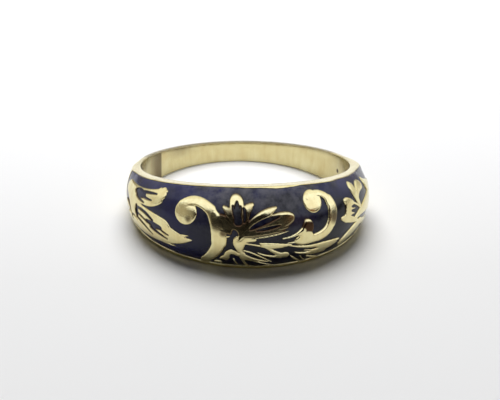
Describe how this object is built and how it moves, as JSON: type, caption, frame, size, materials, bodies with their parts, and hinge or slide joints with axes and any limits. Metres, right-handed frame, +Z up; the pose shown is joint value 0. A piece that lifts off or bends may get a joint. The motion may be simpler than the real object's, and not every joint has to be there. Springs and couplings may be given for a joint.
{
  "type": "enamel band ring",
  "caption": "Gold finger ring with a wide domed head that tapers to a narrow shank, with raised leaf and scroll relief over a field of dark enamel between plain rims.",
  "frame": {"origin": "centre of the lying ring's footprint, on the surface that the ring lies on", "axes": "+Z up from the surface, -Y towards the wide head, +X to the right as the head is seen from the front"},
  "size_m": [0.021, 0.0222, 0.0071],
  "materials": {
    "gold": "polished yellow gold",
    "enamel": "glossy dark navy fused enamel"
  },
  "bodies": {
    "root": {"band": "gold", "enamel": "enamel"}
  },
  "joints": []
}
